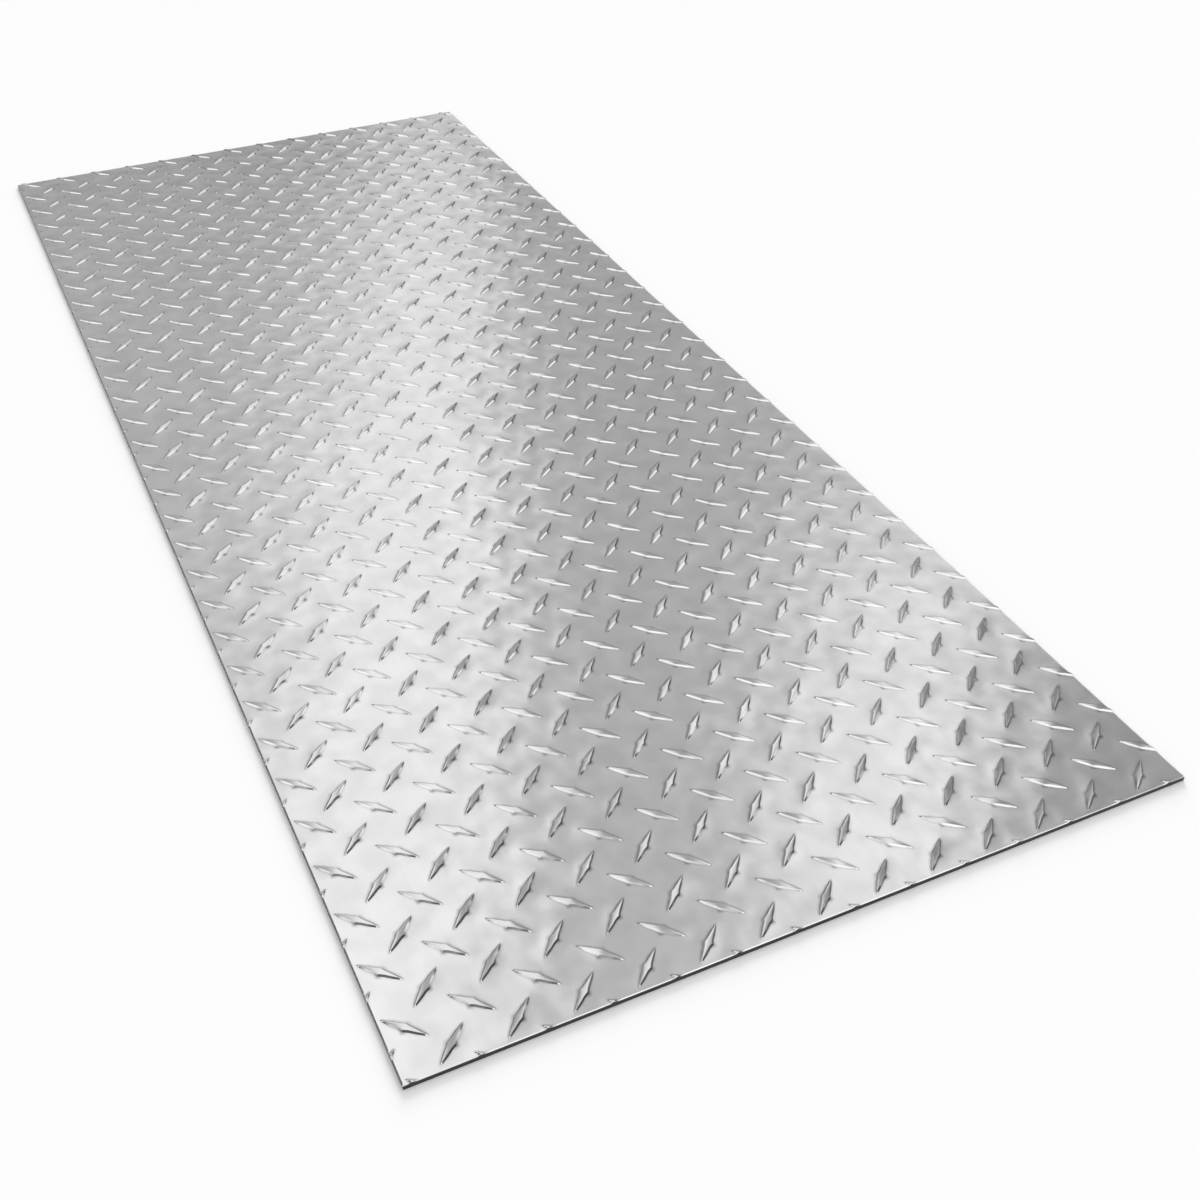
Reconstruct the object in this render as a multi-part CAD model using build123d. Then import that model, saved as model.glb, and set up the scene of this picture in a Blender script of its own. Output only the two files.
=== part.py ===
"""Aluminium tread plate: one flat rolled sheet with raised diamond lugs on its upper face.

The sheet lies flat, with the origin at the middle of its underside.
X runs across the sheet, Y along it and Z up. Lengths are in millimetres, angles in degrees.
"""

import math
import os

from build123d import *

# The sheet, sheared to size after rolling. Its thickness is the gauge, without the lugs.
sheet_width = 609.6
sheet_length = 1524.0
sheet_thickness = 3.96

# One lug: a long diamond in plan, with leaning flanks and a flat top.
lug_length = 34.0
lug_width = 7.2
lug_height = 1.6
flank_lean = 30.0

# The pattern: lugs of one hand on a grid, and lugs of the other hand in the middle of its cells.
pitch_across = 45.2
pitch_along = 47.6
lug_turn = 45.0

# Where the shears happened to cut the pattern: the first lug of the first hand,
# measured from the left edge and from the near edge.
first_lug_across = 15.0
first_lug_along = 39.5


def make_lug():
    """One lug standing on z = 0, its long axis along X."""
    with BuildPart() as lug:
        with BuildSketch():
            with BuildLine():
                Polyline(
                    (-lug_length / 2, 0),
                    (0, -lug_width / 2),
                    (lug_length / 2, 0),
                    (0, lug_width / 2),
                    close=True,
                )
            make_face()
        extrude(amount=lug_height, taper=flank_lean)
    return lug.part.solid()


def box_on_floor(height):
    """A box of the sheet's outline, from the underside up to a height."""
    box = Solid.make_box(sheet_width, sheet_length, height)
    return box.moved(Pos(-sheet_width / 2, -sheet_length / 2, 0))


def centres(first, pitch, span):
    """Lug centres along one direction, from every lug that can reach onto a sheet of that span."""
    reach = lug_length / 2
    lowest = math.ceil((-reach - first) / pitch)
    highest = math.floor((span + reach - first) / pitch)
    return [first + step * pitch for step in range(lowest, highest + 1)]


def lies_inside(across, along):
    """True where a whole lug stays clear of all four edges, whichever way it is turned."""
    reach = lug_length / 2
    return reach < across < sheet_width - reach and reach < along < sheet_length - reach


def make_lugs():
    """Every lug of the sheet in its place, those at the edges cut off flush by the shears."""
    lug = make_lug()
    sheared_outline = box_on_floor(sheet_thickness + lug_height)
    lugs = []
    for half_cell, turn in ((0.0, -lug_turn), (0.5, lug_turn)):
        for along in centres(first_lug_along + half_cell * pitch_along, pitch_along, sheet_length):
            for across in centres(first_lug_across + half_cell * pitch_across, pitch_across, sheet_width):
                spot = Pos(across - sheet_width / 2, along - sheet_length / 2, sheet_thickness)
                placed = lug.moved(spot * Rot(Z=turn))
                if lies_inside(across, along):
                    lugs.append(placed)
                    continue
                kept = placed & sheared_outline
                if kept:
                    lugs.extend(kept.solids())
    return lugs


def make_tread_plate():
    """The sheet and its lugs as one solid, as they leave the rolls. The lugs sit face to face on it."""
    plate = box_on_floor(sheet_thickness).fuse(*make_lugs(), glue=True)
    plate.label = "tread_plate"
    return plate


os.makedirs("parts", exist_ok=True)
# Every face is flat, so the file needs no parametric curves.
export_step(make_tread_plate(), "parts/tread_plate.step", write_pcurves=False)
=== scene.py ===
import math

import bmesh
import bpy
from mathutils import Matrix, Vector


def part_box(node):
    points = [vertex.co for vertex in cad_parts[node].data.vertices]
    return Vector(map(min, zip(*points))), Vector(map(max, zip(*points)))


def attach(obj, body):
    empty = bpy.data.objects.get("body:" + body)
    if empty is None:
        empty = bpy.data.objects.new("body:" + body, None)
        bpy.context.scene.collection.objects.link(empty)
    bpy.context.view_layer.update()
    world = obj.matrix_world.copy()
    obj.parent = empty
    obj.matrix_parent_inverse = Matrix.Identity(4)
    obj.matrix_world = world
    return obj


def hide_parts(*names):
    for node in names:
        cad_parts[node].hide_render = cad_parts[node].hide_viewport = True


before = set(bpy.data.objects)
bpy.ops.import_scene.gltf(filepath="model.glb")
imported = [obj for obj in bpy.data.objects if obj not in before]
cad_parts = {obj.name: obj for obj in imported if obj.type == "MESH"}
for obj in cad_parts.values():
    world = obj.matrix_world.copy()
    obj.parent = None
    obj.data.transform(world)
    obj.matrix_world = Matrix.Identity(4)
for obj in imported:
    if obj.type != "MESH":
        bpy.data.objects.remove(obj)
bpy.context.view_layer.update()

# Lugs. The rolls press them up out of the sheet: long pointed leaves with a small corner halfway along each
# side, even steep flanks, and a crown that leans to one side and falls away towards the two tips.
# One lug of each hand, with the cell of plain sheet around it, is the unit that the rolls repeat.
lowest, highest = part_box("tread_plate")
gauge = 0.00396
pitch_across = 0.0452
pitch_along = 0.0476
lug_turn = math.radians(45)

lug_half_length = 0.0170
lug_half_width = 0.0035
lug_quarter = [
    (lug_half_length, 0.0),
    (0.0150, 0.00095),
    (0.0090, 0.00210),
    (0.0037, 0.00262),
    (0.0, lug_half_width),
]
corner_reach = 0.0010

swell_beyond_tip = 0.0034
swell_beyond_side = 0.0042
swell_height = 0.00005
foot_height = 0.00015
flank_height = 0.00126
flank_run = 0.0012
flank_shortening = Vector((0.94, 1, 1))
least_crown_share = 0.25
crown_lean = math.tan(math.radians(4.5))
crown_height = 0.00005
tip_fall = 0.50

# Painted shade at the foot of each lug, as shares of the dark foot colour: one side darker all along, the
# other side lighter but darkest at its side corner.
shade_at_high_foot = 0.6
shade_at_low_foot = 0.4
shade_at_low_corner = 0.75

neighbour_gap = math.hypot(pitch_across, pitch_along) / 2
cell_reach_share = 0.69
cell_reach = cell_reach_share * neighbour_gap
cell_waist = neighbour_gap - cell_reach
cell_quarter = [
    (cell_reach, 0.0),
    (cell_reach, cell_waist),
    (neighbour_gap / 2, neighbour_gap / 2),
    (cell_waist, cell_waist),
    (0.0, cell_waist),
]
touching = 1e-6


def on_lug(vert):
    return abs(vert.co.x) < lug_half_length + touching and abs(vert.co.y) < lug_half_width + touching


def parts_of(geometry, kind):
    return [part for part in geometry if isinstance(part, kind)]


unit = bmesh.new()
for quarter in (lug_quarter, cell_quarter):
    corners = [unit.verts.new((x, y, 0)) for x, y in quarter]
    for pair in zip(corners, corners[1:]):
        unit.edges.new(pair)
for axis in "XY":
    bmesh.ops.mirror(unit, geom=unit.verts[:] + unit.edges[:], axis=axis, merge_dist=touching)

lug_ring = [edge for edge in unit.edges if all(on_lug(vert) for vert in edge.verts)]

top = bmesh.ops.edgeloop_fill(unit, edges=lug_ring)["faces"][0]
if top.normal.z < 0:
    top.normal_flip()

swollen = parts_of(bmesh.ops.extrude_edge_only(unit, edges=lug_ring)["geom"], bmesh.types.BMVert)
swell_growth = (1 + swell_beyond_tip / lug_half_length, 1 + swell_beyond_side / lug_half_width, 1)
bmesh.ops.scale(unit, vec=swell_growth, verts=swollen)
bmesh.ops.translate(unit, vec=(0, 0, swell_height), verts=swollen)
bmesh.ops.translate(unit, vec=(0, 0, foot_height), verts=top.verts)

foot_edges = list(top.edges)
bmesh.ops.inset_region(unit, faces=[top], depth=flank_height)
bmesh.ops.scale(unit, vec=flank_shortening, verts=top.verts)
for vert in top.verts:
    half_width = max(abs(vert.co.y) - flank_run, abs(vert.co.y) * least_crown_share)
    vert.co.y = math.copysign(half_width, vert.co.y)
    vert.co.z += crown_lean * vert.co.y
side_corners = [vert for vert in top.verts if abs(vert.co.x) < corner_reach]
corner_edges = [edge for vert in side_corners for edge in vert.link_edges]
for edge in foot_edges + list(top.edges) + corner_edges:
    edge.smooth = False

# Painted shade: the foot ring of each lug carries these shares, which fade out over the flank above it and
# over the sheet around it.
foot_shade = unit.verts.layers.float.new("foot_shade")
for vert in {vert for edge in foot_edges for vert in edge.verts}:
    low_side_shade = shade_at_low_corner if abs(vert.co.x) < corner_reach else shade_at_low_foot
    vert[foot_shade] = shade_at_high_foot if vert.co.y > 0 else low_side_shade
lug_top = unit.verts.layers.float.new("lug_top")
for vert in top.verts:
    vert[lug_top] = 1.0

rim = sorted(top.verts, key=lambda vert: (round(vert.co.x, 6), vert.co.y))
crossings = [rim[at:at + 2] for at in range(1, len(rim) - 1, 2)]
for pair in crossings:
    bmesh.ops.connect_verts(unit, verts=pair)
ribs = [edge for pair in crossings for edge in pair[0].link_edges if edge.other_vert(pair[0]) == pair[1]]
spine = parts_of(bmesh.ops.subdivide_edges(unit, edges=ribs, cuts=1)["geom_inner"], bmesh.types.BMVert)
bmesh.ops.translate(unit, vec=(0, 0, crown_height), verts=spine)
for vert in unit.verts:
    vert.co.z *= 1 - tip_fall * min(1, (vert.co.x / lug_half_length) ** 2)

cell_ring = [edge for edge in unit.edges if edge.is_wire]
swell_ring = [edge for edge in unit.edges if edge.is_boundary]
cell_corners = list({vert for edge in cell_ring for vert in edge.verts})
lug_verts = [vert for vert in unit.verts if vert not in cell_corners]
bmesh.ops.rotate(unit, matrix=Matrix.Rotation(lug_turn, 3, "Z"), verts=lug_verts)
sideways, forwards = pitch_across / 2 / neighbour_gap, pitch_along / 2 / neighbour_gap
to_lattice = Matrix(((sideways, -sideways, 0, 0), (forwards, forwards, 0, 0), (0, 0, 1, 0), (0, 0, 0, 1)))
bmesh.ops.transform(unit, matrix=to_lattice, verts=cell_corners)
bmesh.ops.bridge_loops(unit, edges=swell_ring + cell_ring)

other_hand = bmesh.ops.duplicate(unit, geom=unit.verts[:] + unit.edges[:] + unit.faces[:])["geom"]
other_verts = parts_of(other_hand, bmesh.types.BMVert)
bmesh.ops.scale(unit, vec=(-1, 1, 1), verts=other_verts)
bmesh.ops.translate(unit, vec=(-pitch_across / 2, -pitch_along / 2, 0), verts=other_verts)

# The sheet. The unit is rolled out over more than the sheet's size, and the shears cut it to size straight
# through the lugs. The upper edge rolls over a little under the blade, and the wall below it is upright.
first_lug_across = 0.0150
first_lug_along = 0.0395
half_cell = 0.5
spare_cells = 2
roll_over_run = 0.0007
roll_over_drop = 0.00033
lower_break = 0.00015
crease = math.radians(40)

width, length = highest.x - lowest.x, highest.y - lowest.y
columns = math.ceil(width / pitch_across) + 2 * spare_cells
rows = math.ceil(length / pitch_along) + 2 * spare_cells
start = Vector((
    lowest.x + first_lug_across + (half_cell - spare_cells) * pitch_across,
    lowest.y + first_lug_along + (half_cell - spare_cells) * pitch_along,
    gauge,
))
bmesh.ops.translate(unit, vec=start, verts=unit.verts)
for step, count in (((pitch_across, 0, 0), columns), ((0, pitch_along, 0), rows)):
    everything = unit.verts[:] + unit.edges[:] + unit.faces[:]
    bmesh.ops.spin(unit, geom=everything, axis=(0, 0, 1), angle=0, dvec=step, steps=count, use_duplicate=True)
bmesh.ops.remove_doubles(unit, verts=unit.verts, dist=touching)

for side in (Vector((-1, 0, 0)), Vector((1, 0, 0)), Vector((0, -1, 0)), Vector((0, 1, 0))):
    reach = abs(side.x) * width / 2 + abs(side.y) * length / 2 - roll_over_run
    everything = unit.verts[:] + unit.edges[:] + unit.faces[:]
    bmesh.ops.bisect_plane(unit, geom=everything, plane_co=side * reach, plane_no=side, clear_outer=True)

cut = [edge for edge in unit.edges if edge.is_boundary]
for edge in cut:
    edge.smooth = False
to_full_size = (width / (width - 2 * roll_over_run), length / (length - 2 * roll_over_run), 1)
straight_down = (1, 1, 0)
under_the_edge = (1 - 2 * lower_break / width, 1 - 2 * lower_break / length, 0)
for growth, rise in ((to_full_size, -roll_over_drop), (straight_down, lower_break), (under_the_edge, 0)):
    lower = bmesh.ops.extrude_edge_only(unit, edges=cut)["geom"]
    cut = parts_of(lower, bmesh.types.BMEdge)
    lower_verts = parts_of(lower, bmesh.types.BMVert)
    bmesh.ops.scale(unit, vec=growth, verts=lower_verts)
    bmesh.ops.translate(unit, vec=(0, 0, rise), verts=lower_verts)
bmesh.ops.triangle_fill(unit, edges=cut, use_beauty=True)
bmesh.ops.recalc_face_normals(unit, faces=unit.faces)

for face in unit.faces:
    face.smooth = True
for edge in unit.edges:
    below_the_face = edge.verts[0].co.z < gauge - touching
    if below_the_face and len(edge.link_faces) == 2 and edge.calc_face_angle() > crease:
        edge.smooth = False
plate_mesh = bpy.data.meshes.new("tread_plate_sheet")
unit.to_mesh(plate_mesh)
unit.free()
tread_plate = bpy.data.objects.new("tread_plate_sheet", plate_mesh)
bpy.context.scene.collection.objects.link(tread_plate)
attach(tread_plate, "root")
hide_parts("tread_plate")


# Rolled aluminium: bright satin metal from the rolls, a little uneven from place to place, with faint
# streaks along the rolling direction. The sheared edges are rougher and torn into fine upright lines, and
# painted near black as painted shade. Painted shade also darkens the feet and the tops of the lugs.
class Shade:
    """A socket of a material or of the world, so that sums and products of values are written as such."""

    def __init__(self, tree, socket=None):
        self.tree = tree
        self.socket = socket

    def make(self, kind, settings, sockets, out=0):
        node = self.tree.nodes.new(kind)
        for name, value in settings.items():
            setattr(node, name, value)
        for name, value in sockets.items():
            if isinstance(value, Shade):
                self.tree.links.new(value.socket, node.inputs[name])
            else:
                node.inputs[name].default_value = value
        return Shade(self.tree, node.outputs[out])

    def maths(self, operation, first, second):
        return self.make("ShaderNodeMath", {"operation": operation}, {0: first, 1: second})

    def __add__(self, other):
        return self.maths("ADD", self, other)

    def __radd__(self, other):
        return self.maths("ADD", other, self)

    def __sub__(self, other):
        return self.maths("SUBTRACT", self, other)

    def __rsub__(self, other):
        return self.maths("SUBTRACT", other, self)

    def __mul__(self, other):
        return self.maths("MULTIPLY", self, other)

    def __rmul__(self, other):
        return self.maths("MULTIPLY", other, self)

    def above(self, low, high):
        """0 below low, 1 above high and smooth between them."""
        limits = {"Value": self, "From Min": low, "From Max": high}
        return self.make("ShaderNodeMapRange", {"interpolation_type": "SMOOTHSTEP"}, limits)

    def larger(self, other):
        return self.maths("MAXIMUM", self, other)

    def size(self):
        return self.maths("ABSOLUTE", self, 0)

    def stretched(self, scale):
        return self.make("ShaderNodeMapping", {}, {"Vector": self, "Scale": scale})

    def noise(self, scale, detail):
        return self.make("ShaderNodeTexNoise", {}, {"Vector": self, "Scale": scale, "Detail": detail})

    def blend(self, colour_a, colour_b):
        """The Mix node's colour sockets share their names with others of its sockets, so they go by number."""
        return self.make("ShaderNodeMix", {"data_type": "RGBA"}, {0: self, 6: colour_a, 7: colour_b}, out=2)


bright_metal = (0.84, 0.84, 0.845, 1)
dull_metal = (0.58, 0.58, 0.585, 1)
# Painted shade: the dark colour blended in at the feet of the lugs.
foot_shade_colour = (0.20, 0.20, 0.20, 1)
# Painted shade: the near black of the sheared edge walls.
torn_metal_and_shade = (0.07, 0.07, 0.07, 1)

edge_band = 0.00006
foot_shade_range = (0.1, 1.0)

cloud_scale = 9.0
cloud_detail = 3.0
cloud_range = (0.35, 0.75)
cloud_dullness = 0.1
cloud_roughness = 0.06

patch_scale = 42.0
patch_detail = 1.0
patch_range = (0.3, 0.7)
patch_dullness = 0.28

streak_stretch = (260.0, 5.0, 1.0)
streak_scale = 1.0
streak_detail = 2.0
streak_range = (0.3, 0.8)
streak_dullness = 0.05
streak_roughness = 0.015

wave_scale = 34.0
wave_detail = 1.0
wave_height = 0.0004
grain_scale = 1400.0
grain_detail = 2.0
grain_height = 0.0000012

tear_stretch = (1.0, 1.0, 0.04)
tear_scale = 2600.0
tear_detail = 2.0
tear_height = 0.00004
torn_roughness = 0.2

# Painted shade: the lug tops are painted duller, so that they read darker than the sheet around them.
lug_top_shade = 0.3
lug_polish = 0.05
rolled_roughness = 0.15

aluminium = bpy.data.materials.new("rolled_aluminium")
aluminium.use_nodes = True
aluminium.node_tree.nodes.clear()
blank = Shade(aluminium.node_tree)
place = blank.make("ShaderNodeTexCoord", {}, {}, out="Object")
across, along = (blank.make("ShaderNodeSeparateXYZ", {}, {"Vector": place}, out=axis) for axis in "XY")


def at_the_edge(distance, span):
    return distance.size().above(span / 2 - edge_band, span / 2 - edge_band / 2)


lug = blank.make("ShaderNodeAttribute", {"attribute_name": "lug_top"}, {}, out="Fac")
# Painted shade at the lug feet: this mark blends the sheet towards the dark foot colour.
foot_shade_mark = blank.make("ShaderNodeAttribute", {"attribute_name": "foot_shade"}, {}, out="Fac")
foot_shade_mask = foot_shade_mark.above(*foot_shade_range)
sheared = at_the_edge(across, width).larger(at_the_edge(along, length))
clouds = place.noise(cloud_scale, cloud_detail)
patches = place.noise(patch_scale, patch_detail)
streaks = place.stretched(streak_stretch).noise(streak_scale, streak_detail)
waves = place.noise(wave_scale, wave_detail)
grain = place.noise(grain_scale, grain_detail)
tears = place.stretched(tear_stretch).noise(tear_scale, tear_detail)

# Random dullness of the rolled sheet, plus painted shade on the lug tops.
dullness_and_lug_shade = (
    clouds.above(*cloud_range) * cloud_dullness
    + patches.above(*patch_range) * patch_dullness
    + streaks.above(*streak_range) * streak_dullness
    + lug * lug_top_shade
)
rolled_and_shaded_colour = foot_shade_mask.blend(dullness_and_lug_shade.blend(bright_metal, dull_metal), foot_shade_colour)
# Painted shade: the sheared edge walls are blended towards near black.
metal_colour = sheared.blend(rolled_and_shaded_colour, torn_metal_and_shade)
roughness = (
    rolled_roughness
    + clouds * cloud_roughness
    + streaks * streak_roughness
    - lug * lug_polish
    + sheared * torn_roughness
)
relief = waves * wave_height + grain * grain_height + sheared * tears * tear_height
normal = blank.make("ShaderNodeBump", {}, {"Height": relief, "Distance": 1.0, "Strength": 1.0})
metal = blank.make(
    "ShaderNodeBsdfPrincipled",
    {},
    {"Base Color": metal_colour, "Metallic": 1.0, "Roughness": roughness, "Normal": normal},
)
surface = aluminium.node_tree.nodes.new("ShaderNodeOutputMaterial")
aluminium.node_tree.links.new(metal.socket, surface.inputs["Surface"])
plate_mesh.materials.append(aluminium)

# Floor: a sheet of matt white board that the plate is laid on, far larger than the plate. It lies a hair
# lower than the plate's underside, so that the two faces never share a plane, and takes the soft shadow.
floor_half_side = 15.0
floor_gap = 0.0001
floor_white = (0.97, 0.97, 0.97, 1)
floor_roughness = 0.9
floor_gloss = 0.0

floor_shape = bmesh.new()
bmesh.ops.create_grid(floor_shape, x_segments=1, y_segments=1, size=floor_half_side)
bmesh.ops.translate(floor_shape, vec=(0, 0, -floor_gap), verts=floor_shape.verts)
floor_mesh = bpy.data.meshes.new("studio_floor")
floor_shape.to_mesh(floor_mesh)
floor_shape.free()
floor = bpy.data.objects.new("studio_floor", floor_mesh)
bpy.context.scene.collection.objects.link(floor)
floor_paint = bpy.data.materials.new("white_floor_paint")
floor_paint.use_nodes = True
paint = floor_paint.node_tree.nodes["Principled BSDF"]
paint.inputs["Base Color"].default_value = floor_white
paint.inputs["Roughness"].default_value = floor_roughness
paint.inputs["Specular IOR Level"].default_value = floor_gloss
floor_mesh.materials.append(floor_paint)


# Studio light: a painted dome. Beyond the plate is a grey wall with a tilted panel and an upright strip, with
# bright sheets at the sides, a ceiling that dims straight above, a grey rear wall and a pale skirt all round.
# A soft lamp beyond the plate, which the metal doesn't mirror, draws the shadow out to the near side.
heading = math.radians(25)
dark_glow = 0.07

# Each pair is in degrees, from where a change on the dome begins to where it is complete.
wall_glow = 0.375
wall_foot = (8, 25)
wall_right_end = (17, 27)
wall_right_loss = 0.19
wall_left_end = (9, 21)
wall_left_gain = 0.07
wall_stop = (60, 72)

panel_glow = 0.65
panel_right_edge = (-5.4, -3.4)
panel_lower_edge = (-2, 16)
panel_tilt = 1.93

strip_glow = 0.76
strip_middle = 14.4
strip_spread = (0, 9.6)
strip_lower_edge = (25.5, 42.7)

side_glow = 1.18
left_sheet_start = (30, 42)
left_sheet_stop = (128, 142)
left_lower_edge = (-4, 8)
left_lower_slope = 0.25
left_upper_edge = (-15, -3)
left_upper_slope = 0.6
right_sheet_start = (22, 38)
right_sheet_stop = (72, 80)
right_lower_edge = (26, 33)
right_lower_slope = 0.2
right_gap_start = (24, 32)
right_gap_top = (44, 52)
right_gap_stop = (46, 58)
right_gap_loss = 0.45

skirt_glow = 0.5
skirt_top = (6, 14)
skirt_rise = 12
skirt_rise_start = (80, 104)
skirt_loss = 0.32
skirt_loss_start = (28, 38)
skirt_loss_stop = (88, 100)

rear_glow = 0.4
rear_right_start = (94, 112)
rear_left_start = (163, 175)

ceiling_glow = 1.3
ceiling_edge = (58, 72)
ceiling_side_start = (72, 90)
ceiling_side_drop = 17
ceiling_rear_drop = 8
zenith_start = (66, 80)
zenith_loss = 0.7

world = bpy.data.worlds.new("studio")
bpy.context.scene.world = world
world.use_nodes = True
room = Shade(world.node_tree)
way = room.make("ShaderNodeTexCoord", {}, {}, out="Generated")
east, north, rise = (room.make("ShaderNodeSeparateXYZ", {}, {"Vector": way}, out=axis) for axis in "XYZ")
ahead = east * math.sin(heading) + north * math.cos(heading)
right = east * math.cos(heading) - north * math.sin(heading)
in_degrees = 180 / math.pi
swing = room.maths("ARCTAN2", right, ahead) * in_degrees
climb = room.maths("ARCSINE", rise, 0) * in_degrees
leftward = 0 - swing
turned_away = swing.size()

to_left = leftward.above(*left_sheet_start)
to_right = swing.above(*right_sheet_start)

right_end = swing.above(*wall_right_end) * wall_right_loss
left_end = leftward.above(*wall_left_end) * wall_left_gain
wall = climb.above(*wall_foot) * (wall_glow - right_end + left_end)
panel = (1 - swing.above(*panel_right_edge)) * (climb + swing * panel_tilt).above(*panel_lower_edge)
strip = (1 - (swing - strip_middle).size().above(*strip_spread)) * climb.above(*strip_lower_edge)
glowing_wall = wall + panel * panel_glow + strip * strip_glow
beyond = (1 - to_left) * (1 - swing.above(*wall_stop)) * glowing_wall

left_sheet = (
    to_left
    * (1 - leftward.above(*left_sheet_stop))
    * (climb + swing * left_lower_slope).above(*left_lower_edge)
    * (1 - (climb + swing * left_upper_slope).above(*left_upper_edge))
)
right_gap = (
    climb.above(*right_gap_start)
    * (1 - climb.above(*right_gap_top))
    * (1 - swing.above(*right_gap_stop))
    * right_gap_loss
)
right_sheet = (
    to_right
    * (1 - swing.above(*right_sheet_stop))
    * (climb + swing * right_lower_slope).above(*right_lower_edge)
    * (1 - right_gap)
)
side_sheets = left_sheet.larger(right_sheet)

skirt_dimming = swing.above(*skirt_loss_start) * (1 - swing.above(*skirt_loss_stop)) * skirt_loss
skirt = 1 - (climb - turned_away.above(*skirt_rise_start) * skirt_rise).above(*skirt_top)
rear = swing.above(*rear_right_start).larger(leftward.above(*rear_left_start))
side_drop = turned_away.above(*ceiling_side_start) * ceiling_side_drop
ceiling = (climb + side_drop + rear * ceiling_rear_drop).above(*ceiling_edge)
overhead = ceiling * (ceiling_glow - climb.above(*zenith_start) * zenith_loss)

bright_parts = beyond.larger(side_sheets * side_glow).larger(overhead)
pale_parts = (skirt * (skirt_glow - skirt_dimming)).larger(rear * rear_glow)
room_glow = (dark_glow + bright_parts).larger(pale_parts)
world.node_tree.links.new(room_glow.socket, world.node_tree.nodes["Background"].inputs["Color"])

fill_bearing = math.radians(26)
fill_rise = math.radians(20)
fill_softness = math.radians(30)
fill_energy = 2.2

fill_light = bpy.data.lights.new("low_fill", "SUN")
fill_light.angle = fill_softness
fill_light.energy = fill_energy
low_fill = bpy.data.objects.new("low_fill", fill_light)
towards_lamp = Vector((math.sin(fill_bearing), math.cos(fill_bearing), math.tan(fill_rise)))
low_fill.matrix_world = towards_lamp.to_track_quat("Z", "Y").to_matrix().to_4x4()
low_fill.visible_glossy = False
bpy.context.scene.collection.objects.link(low_fill)

# Camera: a plain lens at the height, bearing and slight roll at which the picture was taken, worked out from
# the four corners of the plate in it. All of the plate is in focus.
eye = Vector((-0.42297, -1.30270, 0.79587))
bearing = math.radians(25.029)
downward = math.radians(37.932)
roll = math.radians(-0.496)
sensor_width = 36.0
picture_side = 1200
focal_pixels = 1511.45

camera_data = bpy.data.cameras.new("camera")
camera_data.sensor_width = sensor_width
camera_data.lens = sensor_width * focal_pixels / picture_side
camera = bpy.data.objects.new("camera", camera_data)
aim = Matrix.Rotation(-bearing, 4, "Z") @ Matrix.Rotation(math.pi / 2 - downward, 4, "X")
camera.matrix_world = Matrix.Translation(eye) @ aim @ Matrix.Rotation(roll, 4, "Z")
bpy.context.scene.collection.objects.link(camera)
bpy.context.scene.camera = camera
bpy.context.scene.view_settings.view_transform = "Standard"
